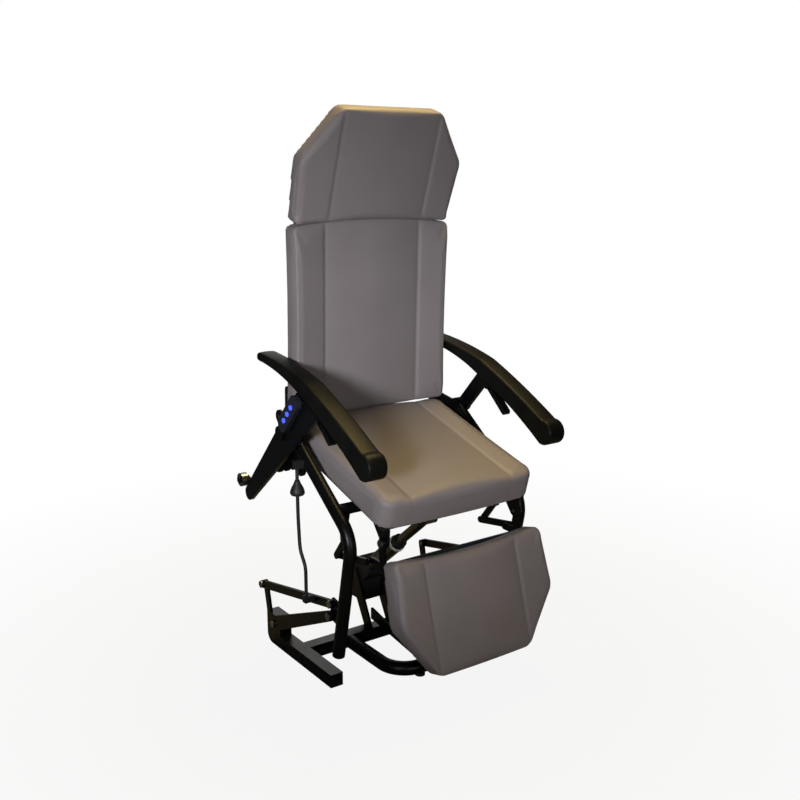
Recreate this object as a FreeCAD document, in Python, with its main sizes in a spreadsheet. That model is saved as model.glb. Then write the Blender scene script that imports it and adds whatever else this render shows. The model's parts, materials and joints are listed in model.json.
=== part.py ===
import FreeCAD, Part
import math
import os

import Sketcher
from FreeCAD import Placement, Rotation, Vector

# Patient rest chair: a riser chair shown raised and tipped forward, in millimetres.
# The chair faces -Y, +Z is up, and the origin is on the floor under the middle of the chair.
# Three frames are used: the floor frame, the seat frame (tipped by seat_tilt about the lower
# link pivot) and the frames of the back, headrest and leg rest, each at its own hinge.

SIZES = {
    # stance
    "origin_setback": 5.54,
    "seat_tilt": 16.0,
    "frame_pivot_y": -93.0,
    "frame_pivot_z": 235.0,
    # base
    "glide_height": 6.0,
    "glide_radius": 15.0,
    "rail_size": 40.0,
    "rail_wall": 2.5,
    "rail_round": 30.0,
    "rail_front": -80.0,
    "rail_rear": 300.0,
    "cross_tube_y": 125.0,
    "loop_diameter": 42.0,
    "loop_half_width": 122.0,
    "loop_front": -150.0,
    "loop_bend": 80.0,
    "post_depth": 82.0,
    "post_height": 60.0,
    # lift linkage
    "upper_pivot_y": 307.0,
    "upper_pivot_z": 191.0,
    "lower_pivot_y": 240.0,
    "lower_pivot_z": 84.0,
    "lug_thickness": 8.0,
    "link_thickness": 10.0,
    "side_gap": 1.0,
    "upper_link_width": 24.0,
    "lower_link_width": 30.0,
    "lower_link_rear": 46.0,
    "frame_pivot_rise": 38.4,
    "frame_pivot_set": 4.0,
    "link_pin_radius": 6.0,
    "pin_clearance": 0.05,
    "open_pivot_clearance": 2.0,
    "pin_head_radius": 11.0,
    "pin_head_height": 5.0,
    # lift actuator
    "actuator_pivot_y": 205.0,
    "actuator_pivot_z": 197.0,
    "actuator_lug_y": 35.0,
    "actuator_lug_z": 231.0,
    "motor_width": 72.0,
    "motor_length": 92.0,
    "motor_depth": 70.0,
    "motor_drop": 84.0,
    "mast_thickness": 8.0,
    "mast_cheek": 21.0,
    "brace_depth": 35.0,
    "cylinder_radius": 24.0,
    "cylinder_bore_radius": 15.3,
    "cylinder_length": 165.0,
    "gland_radius": 22.1,
    "gland_length": 20.0,
    "ring_radius": 25.9,
    "ring_length": 8.0,
    "rod_radius": 14.5,
    "rod_start": 150.0,
    "rod_eye_radius": 18.0,
    "rod_eye_width": 34.0,
    "actuator_pin_radius": 6.0,
    # side tubes
    "seat_side_gap": 40.0,
    "side_tube_diameter": 36.0,
    "side_tube_wall": 2.5,
    "tube_foot_y": -54.0,
    "tube_foot_z": -101.0,
    "upright_lean": 4.0,
    "upright_length": 370.0,
    "run_slope": 20.2,
    "run_length": 392.0,
    "tube_bend": 90.0,
    "foot_plug_length": 12.0,
    "gusset_front": 74.0,
    "gusset_drop": 205.0,
    "gusset_depth": 39.0,
    "gusset_scallop": 7.0,
    # seat
    "seat_width": 520.0,
    "seat_depth": 496.0,
    "seat_front": -93.0,
    "seat_board_bottom": 319.0,
    "board_thickness": 12.0,
    "board_inset": 12.0,
    "seat_cushion_height": 86.0,
    "cushion_clearance": 0.3,
    "seat_cross_diameter": 32.0,
    "seat_cross_rear_y": 300.0,
    "collar": 9.6,
    "bracket_front": 6.0,
    "bracket_rear": 85.0,
    # back
    "back_hinge_gap": 45.0,
    "back_hinge_z": 394.0,
    "back_lean": 14.2,
    "back_tube_inset": 66.0,
    "back_tube_diameter": 25.0,
    "back_tube_wall": 2.0,
    "back_overhang": 23.0,
    "back_length": 545.0,
    "back_rise": 11.0,
    "back_thickness": 50.0,
    "back_cross_z": 430.0,
    # headrest
    "head_hinge_gap": 4.0,
    "head_nod": 16.9,
    "head_overhang": 32.0,
    "head_length": 329.0,
    "head_rise": 19.0,
    "head_thickness": 47.0,
    # leg rest
    "leg_hinge_y": -77.0,
    "leg_hinge_z": 275.0,
    "leg_kick": 31.9,
    "leg_overhang": 8.0,
    "leg_length": 330.0,
    "leg_drop": 43.0,
    "leg_thickness": 57.0,
    "leg_arm_inset": 28.0,
    "leg_arm_length": 250.0,
    # leg rest linkage
    "lever_back": 30.4,
    "lever_down": 75.3,
    "rocker_top_y": 46.5,
    "rocker_top_z": 216.6,
    "rocker_set_in": 31.0,
    "linkage_width": 20.0,
    "linkage_pin_radius": 5.0,
    # hinges of the soft panels
    "ear_thickness": 8.0,
    "ear_radius": 15.0,
    "hinge_boss_radius": 19.5,
    "hinge_pin_radius": 5.0,
    # arms
    "hub_radius": 22.0,
    "arm_pin_radius": 7.0,
    "arm_bar_thickness": 12.0,
    "arm_bar_width": 44.0,
    "arm_bar_gap": 4.0,
    "arm_bar_drop": 319.0,
    "arm_bar_slope": 26.8,
    "arm_bar_top_inset": 14.0,
    "arm_pad_width": 58.0,
    "arm_pad_set": 39.6,
    "arm_pad_length": 625.0,
    "arm_pad_above": 66.5,
    "arm_pad_rise": 131.0,
    "arm_pad_corner": 8.0,
    "arm_pad_round": 5.0,
    "arm_cap_height": 6.0,
    "roller_radius": 21.0,
    "roller_width": 20.0,
    "roller_back": 50.0,
    "roller_axle_radius": 5.0,
    "trigger_ahead": 124.7,
    "trigger_tilt": 26.0,
    "trigger_length": 100.0,
    "trigger_width": 20.0,
    "trigger_radius": 9.0,
    "trigger_pin_radius": 2.5,
    # handset
    "handset_length": 141.0,
    "handset_width": 45.0,
    "handset_thickness": 13.5,
    "handset_reach": 95.0,
    "button_radius": 7.0,
    "button_pitch": 30.0,
    "button_proud": 2.5,
    "button_depth": 4.0,
    "button_travel": 1.5,
    "button_clearance": 0.3,
    # handset cable
    "cable_diameter": 10.0,
    "cable_stand_off": 36.0,
    "cable_top_ahead": 91.3,
    "cable_top_below": 82.5,
    "cable_straight": 134.0,
    "clip_width": 24.0,
    "clip_depth": 18.0,
    "clip_height": 24.0,
    "bulb_drop": 32.0,
    "bulb_radius": 17.0,
    "bulb_length": 46.0,
}

SIDES = (("left", -1), ("right", 1))
X_AXIS = Vector(1, 0, 0)
SMALL = 1e-6

doc = FreeCAD.newDocument("patient_rest_chair")
sheet = doc.addObject("Spreadsheet::Sheet", "sizes")
for row, (alias, number) in enumerate(SIZES.items(), start=1):
    sheet.set("A%d" % row, alias)
    sheet.set("B%d" % row, str(number))
    sheet.setAlias("B%d" % row, alias)
doc.recompute()

pieces = {}


def size(alias):
    """The number in the sheet's cell of that name."""
    return float(getattr(sheet, alias))


def cell(alias):
    """The expression that names a cell."""
    return "sizes." + alias


def keep(node, piece, place):
    """Names a finished piece, puts it in its frame and lists it as a sub-part."""
    piece.Label = node
    piece.Placement = place * piece.Placement
    pieces[node] = piece
    return piece


def turn(degrees):
    """A turn about X: positive tips +Y up."""
    return Rotation(X_AXIS, degrees)


def polar(centre, radius, degrees):
    """The point at an angle round a centre in a flat outline."""
    angle = math.radians(degrees)
    return centre[0] + radius * math.cos(angle), centre[1] + radius * math.sin(angle)


# Basic solids whose sizes are bound to the sheet

def box(name, length, width, height, corner):
    """A block from its three size expressions and its lowest corner."""
    block = doc.addObject("Part::Box", name)
    block.setExpression("Length", length)
    block.setExpression("Width", width)
    block.setExpression("Height", height)
    block.Placement = Placement(Vector(*corner), Rotation())
    return block


def bar_x(name, radius, length, start):
    """A round bar along +X from its start point."""
    bar = doc.addObject("Part::Cylinder", name)
    bar.setExpression("Radius", radius)
    bar.setExpression("Height", length)
    bar.Placement = Placement(Vector(*start), Rotation(Vector(0, 1, 0), 90))
    return bar


def bar_z(name, radius, length, start):
    """A round bar along +Z from its start point."""
    bar = doc.addObject("Part::Cylinder", name)
    bar.setExpression("Radius", radius)
    bar.setExpression("Height", length)
    bar.Placement = Placement(Vector(*start), Rotation())
    return bar


def less(name, base, *tools):
    """The base with each tool cut out of it."""
    for number, tool in enumerate(tools):
        cut = doc.addObject("Part::Cut", "%s_cut_%d" % (name, number))
        cut.Base = base
        cut.Tool = tool
        base = cut
    return base


def join(name, *parts):
    """Touching or crossing solids made one."""
    fused = doc.addObject("Part::MultiFuse", name + "_join")
    fused.Shapes = list(parts)
    return fused


def group(name, *parts):
    """Separate solids that share one node."""
    compound = doc.addObject("Part::Compound", name + "_group")
    compound.Links = list(parts)
    return compound


def pin_x(name, radius, sign, inner, outer, centre):
    """A round pin along X between two distances from the middle, on one side."""
    pin = doc.addObject("Part::Cylinder", name)
    pin.setExpression("Radius", radius)
    pin.Height = outer - inner
    pin.Placement = Placement(Vector(near_x(sign, inner, outer), *centre), Rotation(Vector(0, 1, 0), 90))
    return pin


def pair(node, make, place):
    """A node that holds the left and right pieces of one kind."""
    keep(node, group(node, *[make("%s_%s" % (node, side), sign) for side, sign in SIDES]), place)


def pairs(node, makers, place):
    """A node that holds the left and right pieces of several kinds."""
    made = [make("%s_%s_%s" % (node, make.__name__, side), sign) for make in makers for side, sign in SIDES]
    keep(node, group(node, *made), place)


# Sketched bodies

def plane(body, role):
    """One of a body's own origin planes."""
    return next(face for face in body.Origin.OriginFeatures if face.Role == role)


def sketch_on(body, role, name, offset=Placement()):
    """An empty sketch on an origin plane of the body."""
    sketch = body.newObject("Sketcher::SketchObject", name)
    sketch.AttachmentSupport = [(plane(body, role), "")]
    sketch.MapMode = "FlatFace"
    sketch.AttachmentOffset = offset
    return sketch


def flat(point):
    """A sketch point."""
    return Vector(point[0], point[1], 0)


def draw(sketch, outline):
    """Draws a closed outline: plain points joined by lines, ("arc", through, end) for arcs."""
    start = outline[0]
    here = start
    for step in list(outline[1:]) + [start]:
        if step[0] == "arc":
            sketch.addGeometry(Part.Arc(flat(here), flat(step[1]), flat(step[2])), False)
            here = step[2]
        elif math.dist(here, step) > 1e-6:
            sketch.addGeometry(Part.LineSegment(flat(here), flat(step)), False)
            here = step


def ring(sketch, centre, radius):
    """A circle whose radius is bound to an expression."""
    index = sketch.addGeometry(Part.Circle(flat(centre), Vector(0, 0, 1), 1.0), False)
    bound = sketch.addConstraint(Sketcher.Constraint("Radius", index, 1.0))
    sketch.setExpression("Constraints[%d]" % bound, radius)


def plate(name, outline, holes, near_x, thickness):
    """A flat plate drawn in Y and Z, padded along +X from near_x, with round holes."""
    body = doc.addObject("PartDesign::Body", name)
    sketch = sketch_on(body, "YZ_Plane", name + "_outline", Placement(Vector(0, 0, near_x), Rotation()))
    draw(sketch, outline)
    for centre, radius in holes:
        ring(sketch, centre, radius)
    pad = body.newObject("PartDesign::Pad", name + "_pad")
    pad.Profile = sketch
    pad.setExpression("Length", thickness)
    return body


def round_edges(body, name, radius_cell, wanted):
    """Rounds the edges of the body's last feature that are wanted."""
    doc.recompute()
    base = body.Tip
    chosen = [number for number, edge in enumerate(base.Shape.Edges, start=1) if wanted(edge)]
    rounding = body.newObject("PartDesign::Fillet", name)
    rounding.Base = (base, ["Edge%d" % number for number in chosen])
    rounding.setExpression("Radius", cell(radius_cell))


def strap(first, second, first_radius, second_radius):
    """The outline of a bar with round ends about two centres."""
    angle = math.degrees(math.atan2(second[1] - first[1], second[0] - first[0]))
    return [
        polar(first, first_radius, angle + 90),
        ("arc", polar(first, first_radius, angle + 180), polar(first, first_radius, angle - 90)),
        polar(second, second_radius, angle - 90),
        ("arc", polar(second, second_radius, angle), polar(second, second_radius, angle + 90)),
    ]


def bent_path(points, radius):
    """Straight runs joined by tangent arcs of one radius, as sketch geometry."""
    geometry = []
    here = Vector(*points[0])
    for corner, following in zip(points[1:-1], points[2:]):
        corner = Vector(*corner)
        arrive = (corner - here).normalize()
        leave = (Vector(*following) - corner).normalize()
        half_turn = arrive.getAngle(leave) / 2
        reach = radius * math.tan(half_turn)
        begin = corner - arrive * reach
        end = corner + leave * reach
        middle_way = (leave - arrive).normalize()
        middle = corner + middle_way * (radius / math.cos(half_turn) - radius)
        geometry.append(Part.LineSegment(here, begin))
        geometry.append(Part.Arc(begin, middle, end))
        here = end
    geometry.append(Part.LineSegment(here, Vector(*points[-1])))
    return geometry


def bent_tube(name, role, offset, points, bend, ring_place, outer, wall):
    """A round tube swept along straight runs and bends."""
    body = doc.addObject("PartDesign::Body", name)
    spine = sketch_on(body, role, name + "_path", offset)
    spine.addGeometry(bent_path([flat(point) for point in points], bend), False)
    profile = sketch_on(body, "XY_Plane", name + "_section", ring_place)
    ring(profile, (0, 0), outer + " / 2")
    ring(profile, (0, 0), outer + " / 2 - " + wall)
    pipe = body.newObject("PartDesign::AdditivePipe", name + "_sweep")
    pipe.Profile = profile
    pipe.Spine = (spine, [])
    return body


def square_tube(name, outer, wall, length, lowest):
    """A square tube along X, its ends closed by welded plates."""
    inner = "%s - 2 * %s" % (outer, wall)
    gauge = size("rail_wall")
    inside = [place + gauge for place in lowest]
    shell = box(name + "_outer", length, outer, outer, lowest)
    bore = box(name + "_bore", "%s - 2 * %s" % (length, wall), inner, inner, inside)
    return less(name, shell, bore)


# Frames

FLOOR = Placement(Vector(0, size("origin_setback"), 0), Rotation())
SEAT = FLOOR * Placement(Vector(0, size("frame_pivot_y"), size("frame_pivot_z")), turn(size("seat_tilt")))
back_hinge = (size("seat_front") + size("seat_depth") + size("back_hinge_gap"), size("back_hinge_z"))
BACK = SEAT * Placement(Vector(0, *back_hinge), turn(-size("back_lean")))
head_hinge_rise = size("back_rise") + size("back_length") + size("head_hinge_gap")
HEAD = BACK * Placement(Vector(0, 0, head_hinge_rise), turn(size("head_nod")))
LEG = SEAT * Placement(Vector(0, size("leg_hinge_y"), size("leg_hinge_z")), turn(-size("leg_kick")))

# Shared places

rail_size = size("rail_size")
rail_bottom = size("glide_height")
rail_top = rail_bottom + rail_size
side_x = size("seat_width") / 2 + size("seat_side_gap")
side_x_cell = "(%s / 2 + %s)" % (cell("seat_width"), cell("seat_side_gap"))
lug_inner = side_x - size("lug_thickness") / 2
lug_outer = side_x + size("lug_thickness") / 2
rail_inner = lug_outer - rail_size
link_inner = lug_outer + size("side_gap")
link_outer = link_inner + size("link_thickness")
head_inner = link_outer + size("side_gap")

upper_pivot = (size("upper_pivot_y"), size("upper_pivot_z"))
lower_pivot = (size("lower_pivot_y"), size("lower_pivot_z"))
pivot_d_seat = (0.0, 0.0)
pivot_c_seat = (size("frame_pivot_set"), size("frame_pivot_rise"))


def seat_to_floor(point):
    """A seat-frame point (y, z) in the floor frame, before the origin's setback."""
    moved = FLOOR.inverse() * SEAT * Placement(Vector(0, point[0], point[1]), Rotation())
    return moved.Base.y, moved.Base.z


pivot_c = seat_to_floor(pivot_c_seat)
pivot_d = seat_to_floor(pivot_d_seat)


def near_x(sign, inner, outer):
    """The lower X of a piece between two distances from the middle, on either side."""
    return inner if sign > 0 else -outer


def fit(radius_cell):
    """A running hole for a pin."""
    return "%s + %s" % (cell(radius_cell), cell("pin_clearance"))


def headed_pin(name, sign, radius, inner, head_from, centre):
    """A pin along X with a flat round head on its outer end."""
    shank = pin_x(name + "_shank", radius, sign, inner, head_from, centre)
    head_to = head_from + size("pin_head_height")
    head = pin_x(name + "_head", cell("pin_head_radius"), sign, head_from, head_to, centre)
    return join(name, shank, head)


# Base

cross_front = size("cross_tube_y") - rail_size / 2
post_top = rail_top + size("post_height")
motor_half = size("motor_width") / 2
mast_inner = motor_half + size("side_gap")
mast_outer = mast_inner + size("mast_thickness")
actuator_pivot = (size("actuator_pivot_y"), size("actuator_pivot_z"))


def base_rail(name, sign):
    """A rail of square tube whose lower rear end is rounded and solid."""
    x = near_x(sign, rail_inner, lug_outer)
    front, rear, top = size("rail_front"), size("rail_rear"), rail_bottom + size("rail_size")
    round_from = rear - size("rail_round")
    bend = (round_from, rail_bottom + size("rail_round"))
    corner_through = polar(bend, size("rail_round"), DOWN / 2)
    outline = [(front, rail_bottom), (round_from, rail_bottom), ("arc", corner_through, (rear, bend[1])),
               (rear, top), (front, top)]
    solid = plate(name + "_solid", outline, [], x, cell("rail_size"))
    gauge = size("rail_wall")
    inner = "%s - 2 * %s" % (cell("rail_size"), cell("rail_wall"))
    hollow_part = "%s - %s - %s - 2 * %s" % tuple(
        cell(alias) for alias in ("rail_rear", "rail_front", "rail_round", "rail_wall"))
    bore = box(name + "_bore", inner, hollow_part, inner, (x + gauge, front + gauge, rail_bottom + gauge))
    return less(name, solid, bore)


def rear_post(name, sign):
    x = near_x(sign, rail_inner, lug_outer)
    post = box(name + "_block", cell("rail_size"), cell("post_depth"), cell("post_height"),
               (x, size("rail_rear") - size("post_depth"), rail_top))
    hole = bar_x(name + "_hole", cell("link_pin_radius"), cell("rail_size"), (x, *lower_pivot))
    return less(name, post, hole)


def link_strut(name, sign):
    tip = size("upper_link_width") / 2
    outline = [
        (size("rail_rear") - 2 * tip, post_top),
        (size("rail_rear"), post_top),
        polar(upper_pivot, tip, -14),
        ("arc", polar(upper_pivot, tip, 76), polar(upper_pivot, tip, 166)),
    ]
    return plate(name, outline, [(upper_pivot, cell("link_pin_radius"))],
                 near_x(sign, lug_inner, lug_outer), cell("lug_thickness"))


def mast_plate(name, sign):
    """The upright plate that carries one end of the actuator's lower pin."""
    cheek = size("mast_cheek")
    outline = [
        (cross_front, rail_top),
        (cross_front + rail_size, rail_top),
        polar(actuator_pivot, cheek, -30),
        ("arc", polar(actuator_pivot, cheek, 60), polar(actuator_pivot, cheek, 150)),
    ]
    return plate(name, outline, [(actuator_pivot, cell("actuator_pin_radius"))],
                 near_x(sign, mast_inner, mast_outer), cell("mast_thickness"))


def mast_brace(name, sign):
    """The slanting plate from the mast down to the front loop."""
    depth = size("brace_depth")
    loop_top = rail_bottom + size("loop_diameter")
    toe = size("loop_front")
    outline = [
        (toe - depth / 2, loop_top),
        (toe + depth / 2, loop_top),
        (cross_front, rail_top + depth),
        (cross_front, rail_top + 2 * depth),
        (toe - depth / 2, loop_top + depth / 3),
    ]
    return plate(name, outline, [], near_x(sign, mast_inner, mast_outer), cell("mast_thickness"))


def make_base():
    pair("base_rails", base_rail, FLOOR)
    pair("rear_posts", rear_post, FLOOR)
    pair("link_struts", link_strut, FLOOR)
    pair("actuator_mast", mast_plate, FLOOR)
    pair("mast_braces", mast_brace, FLOOR)

    cross_length = "2 * (%s + %s / 2 - %s)" % (side_x_cell, cell("lug_thickness"), cell("rail_size"))
    cross = square_tube("base_cross_tube", cell("rail_size"), cell("rail_wall"), cross_length,
                        (-rail_inner, cross_front, rail_bottom))
    keep("base_cross_tube", cross, FLOOR)

    loop_z = rail_bottom + size("loop_diameter") / 2
    half = size("loop_half_width")
    front = size("loop_front")
    points = [(-half, cross_front), (-half, front), (half, front), (half, cross_front)]
    loop = bent_tube("base_front_loop", "XY_Plane", Placement(Vector(0, 0, loop_z), Rotation()), points,
                     size("loop_bend"), Placement(Vector(-half, cross_front, loop_z), turn(90)),
                     cell("loop_diameter"), cell("rail_wall"))
    keep("base_front_loop", loop, FLOOR)

    rail_middle = lug_outer - rail_size / 2
    inset = 2 * size("glide_radius")
    glides = []
    for side, sign in SIDES:
        for number, (x, y) in enumerate((
                (rail_middle, size("rail_front") + inset),
                (rail_middle, size("rail_rear") - size("rail_round") - inset),
                (half - size("loop_bend"), front))):
            glides.append(bar_z("glide_%s_%d" % (side, number), cell("glide_radius"), cell("glide_height"),
                                (sign * x, y, 0)))
    keep("floor_glides", group("floor_glides", *glides), FLOOR)

    pins = [pin_x("actuator_base_pin", cell("actuator_pin_radius"), 1, -mast_outer, mast_outer,
                  actuator_pivot)]
    for side, sign in SIDES:
        for which, centre, inner in (("upper", upper_pivot, lug_inner), ("lower", lower_pivot, rail_inner)):
            pins.append(headed_pin("base_pin_%s_%s" % (which, side), sign, cell("link_pin_radius"),
                                   inner, head_inner, centre))
    keep("base_pivot_pins", group("base_pivot_pins", *pins), FLOOR)


# Lift links

def make_links():
    open_hole = "%s + %s" % (cell("link_pin_radius"), cell("open_pivot_clearance"))
    for side, sign in SIDES:
        x = near_x(sign, link_inner, link_outer)
        half = size("upper_link_width") / 2
        upper = plate("upper_link_" + side, strap(upper_pivot, pivot_c, half, half),
                      [(upper_pivot, fit("link_pin_radius")), (pivot_c, fit("link_pin_radius"))],
                      x, cell("link_thickness"))
        keep("upper_link_" + side, upper, FLOOR)
        half = size("lower_link_width") / 2
        rear_half = size("lower_link_rear") / 2
        lower = plate("lower_link_" + side, strap(lower_pivot, pivot_d, rear_half, half),
                      [(lower_pivot, fit("link_pin_radius")), (pivot_d, open_hole)],
                      x, cell("link_thickness"))
        keep("lower_link_" + side, lower, FLOOR)


# Side tubes and what is fixed to them

foot = (size("tube_foot_y"), size("tube_foot_z"))
lean = math.radians(size("upright_lean"))
slope = math.radians(size("run_slope"))
upright = size("upright_length")
corner = (foot[0] + upright * math.sin(lean), foot[1] + upright * math.cos(lean))
hub = (corner[0] + size("run_length") * math.cos(slope), corner[1] + size("run_length") * math.sin(slope))
tube_radius = size("side_tube_diameter") / 2
tube_inner = side_x - tube_radius
tube_outer = side_x + tube_radius
cross_radius = size("seat_cross_diameter") / 2
cross_z = size("seat_board_bottom") - cross_radius
front_cross = (corner[0] + (cross_z - corner[1]) / math.tan(slope), cross_z)
rear_cross = (size("seat_cross_rear_y"), cross_z)
leg_hinge = (size("leg_hinge_y"), size("leg_hinge_z"))
lug_pivot = (size("actuator_lug_y"), size("actuator_lug_z"))
hub_end = tube_outer + size("arm_bar_gap") / 2
bar_inner = tube_outer + size("arm_bar_gap")
bar_outer = bar_inner + size("arm_bar_thickness")
plate_inner = tube_inner - size("ear_thickness")
cap_from = bar_outer + size("side_gap")
cap_to = cap_from + size("arm_cap_height")
eye_lug_inner = size("rod_eye_width") / 2 + size("side_gap")
eye_lug_outer = eye_lug_inner + size("lug_thickness")
leg_arm_x = size("seat_width") / 2 - size("leg_arm_inset")
back_tube_x = side_x - size("back_tube_inset")
bracket_outer = leg_arm_x - size("side_gap")
bracket_inner = bracket_outer - size("ear_thickness")


# Leg rest linkage: the rocker and the leg rest's lever are parallel, so the push bar keeps its slope

lever = (size("lever_back"), -size("lever_down"))
lever_turn = math.radians(size("leg_kick"))
lever_leg = (lever[0] * math.cos(lever_turn) - lever[1] * math.sin(lever_turn),
             lever[0] * math.sin(lever_turn) + lever[1] * math.cos(lever_turn))
lever_end = (leg_hinge[0] + lever[0], leg_hinge[1] + lever[1])
rocker_top = (size("rocker_top_y"), size("rocker_top_z"))
rocker_end = (rocker_top[0] + lever[0], rocker_top[1] + lever[1])
hanger_from = side_x - size("rocker_set_in") + size("side_gap")
rocker_to = side_x - size("rocker_set_in")
rocker_from = rocker_to - size("ear_thickness")
bar_to = rocker_from - size("side_gap")
bar_from = bar_to - size("ear_thickness")

SCALLOPS = 4
DOWN = -90
bar_way = (math.sin(math.radians(size("arm_bar_slope"))), -math.cos(math.radians(size("arm_bar_slope"))))


def along_bar(distance):
    """A point on the arm bar's middle line: down from the hub is positive."""
    return hub[0] + bar_way[0] * distance, hub[1] + bar_way[1] * distance


def leg_rocker(name, sign):
    half = size("linkage_width") / 2
    holes = [(rocker_top, fit("linkage_pin_radius"))]
    rocker = plate(name + "_plate", strap(rocker_top, rocker_end, half, half), holes,
                   near_x(sign, rocker_from, rocker_to), cell("ear_thickness"))
    pin = pin_x(name + "_pin", cell("linkage_pin_radius"), sign, bar_from - size("side_gap"), rocker_to,
                rocker_end)
    return join(name, rocker, pin)


def push_bar(name, sign):
    half = size("linkage_width") / 2
    holes = [(lever_end, fit("linkage_pin_radius")), (rocker_end, fit("linkage_pin_radius"))]
    return plate(name, strap(lever_end, rocker_end, half, half), holes,
                 near_x(sign, bar_from, bar_to), cell("ear_thickness"))


def side_tube(name, sign):
    tube = bent_tube(name, "YZ_Plane", Placement(Vector(0, 0, sign * side_x), Rotation()),
                     [foot, corner, hub], size("tube_bend"),
                     Placement(Vector(sign * side_x, *foot), turn(-size("upright_lean"))),
                     cell("side_tube_diameter"), cell("side_tube_wall"))
    saddle = pin_x(name + "_saddle", cell("hub_radius"), sign, tube_inner, tube_outer, hub)
    return less(name, tube, saddle)


def foot_plug(name, sign):
    radius = "%s / 2 - %s" % (cell("side_tube_diameter"), cell("side_tube_wall"))
    plug = bar_z(name, radius, cell("foot_plug_length"), (0, 0, 0))
    plug.Placement = Placement(Vector(sign * side_x, *foot), turn(-size("upright_lean")))
    return plug


def arm_hub(name, sign):
    barrel = pin_x(name + "_barrel", cell("hub_radius"), sign, tube_inner, hub_end, hub)
    bore = pin_x(name + "_bore", cell("arm_pin_radius"), sign, tube_inner, hub_end, hub)
    return less(name, barrel, bore)


def arm_pivot(name, sign):
    pin = pin_x(name + "_pin", cell("arm_pin_radius"), sign, plate_inner, cap_from, hub)
    cap = pin_x(name + "_cap", cell("hub_radius"), sign, cap_from, cap_to, hub)
    return join(name, pin, cap)


def link_lug(name, sign):
    """The plate behind an upright that holds both front pivots of the lift links."""
    along = (math.sin(lean), math.cos(lean))
    across = (math.cos(lean), -math.sin(lean))

    def beside(up, out):
        return foot[0] + along[0] * up + across[0] * out, foot[1] + along[1] * up + across[1] * out

    def measure(point, way):
        return (point[0] - foot[0]) * way[0] + (point[1] - foot[1]) * way[1]

    reach = measure(pivot_d_seat, across) + size("upper_link_width") / 2
    low = measure(pivot_d_seat, along) - size("lower_link_width") / 2
    high = measure(pivot_c_seat, along) + size("upper_link_width") / 2
    outline = [beside(low, tube_radius), beside(low, reach), beside(high, reach), beside(high, tube_radius)]
    holes = [(pivot_c_seat, cell("link_pin_radius")), (pivot_d_seat, cell("link_pin_radius"))]
    return plate(name, outline, holes, near_x(sign, lug_inner, lug_outer), cell("lug_thickness"))


def below_run(along, out):
    """A point under a side tube's upper run, from the bend towards the hub."""
    drop = tube_radius + out
    return (corner[0] + math.cos(slope) * along + math.sin(slope) * drop,
            corner[1] + math.sin(slope) * along - math.cos(slope) * drop)


def gusset(name, sign):
    """The plate under a side tube's rear end, with a scalloped lower edge, cut round the arm's hub."""
    round_hub = size("hub_radius")
    bulge = size("gusset_scallop")
    start = size("run_length") - size("gusset_front")
    first = below_run(start - bulge, size("gusset_depth"))
    last = along_bar(size("gusset_drop"))
    outline = [below_run(start, 0), first]
    for number in range(1, SCALLOPS + 1):
        end = [a + (b - a) * number / SCALLOPS for a, b in zip(first, last)]
        middle = [a + (b - a) * (number - 0.5) / SCALLOPS for a, b in zip(first, last)]
        outline.append(("arc", (middle[0] - bulge, middle[1] - bulge), end))
    tube_side = DOWN - math.degrees(math.acos(tube_radius / round_hub)) + size("run_slope")
    bar_side = DOWN + size("arm_bar_slope")
    between = (bar_side + tube_side) / 2
    outline.append(polar(hub, round_hub, bar_side))
    outline.append(("arc", polar(hub, round_hub, between), polar(hub, round_hub, tube_side)))
    return plate(name, outline, [], near_x(sign, lug_inner, lug_outer), cell("lug_thickness"))


def rocker_hanger(name, sign):
    """The plate under the front cross tube that a leg rest rocker hangs on."""
    y, z = front_cross
    half = size("linkage_width") / 2
    outline = [
        (y + cross_radius, z),
        ("arc", (y, z - cross_radius), (y - cross_radius, z)),
        (y - cross_radius - half, z),
        polar(rocker_top, half, 180),
        ("arc", polar(rocker_top, half, -90), polar(rocker_top, half, 0)),
        (y + cross_radius + half, z),
    ]
    return plate(name, outline, [(rocker_top, cell("linkage_pin_radius"))],
                 near_x(sign, hanger_from, hanger_from + size("ear_thickness")), cell("ear_thickness"))


def hinge_plate(name, sign):
    """The plate inside a side tube: it joins the rear cross tube, the arm hub and the back's hinge."""
    round_cross = cross_radius + size("collar")
    round_hinge = size("hinge_boss_radius")
    round_hub = size("hub_radius")
    outline = [
        polar(rear_cross, round_cross, 150),
        ("arc", polar(rear_cross, round_cross, -140), polar(rear_cross, round_cross, -50)),
        polar(back_hinge, round_hinge, -50),
        ("arc", polar(back_hinge, round_hinge, 20), polar(back_hinge, round_hinge, 95)),
        polar(hub, round_hub, 95),
        ("arc", polar(hub, round_hub, 130), polar(hub, round_hub, 165)),
    ]
    holes = [(rear_cross, cell("seat_cross_diameter") + " / 2"), (back_hinge, cell("hinge_pin_radius")),
             (hub, cell("arm_pin_radius"))]
    return plate(name, outline, holes, near_x(sign, plate_inner, tube_inner), cell("ear_thickness"))


def leg_bracket(name, sign):
    """The ear under the front of the seat board that carries the leg rest."""
    ear = size("ear_radius")
    under = size("seat_board_bottom")
    outline = [
        (leg_hinge[0] + size("bracket_rear"), under),
        (leg_hinge[0] - size("bracket_front"), under),
        polar(leg_hinge, ear, 180),
        ("arc", polar(leg_hinge, ear, 240), polar(leg_hinge, ear, 310)),
    ]
    return plate(name, outline, [(leg_hinge, cell("hinge_pin_radius"))],
                 near_x(sign, bracket_inner, bracket_outer), cell("ear_thickness"))


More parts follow.
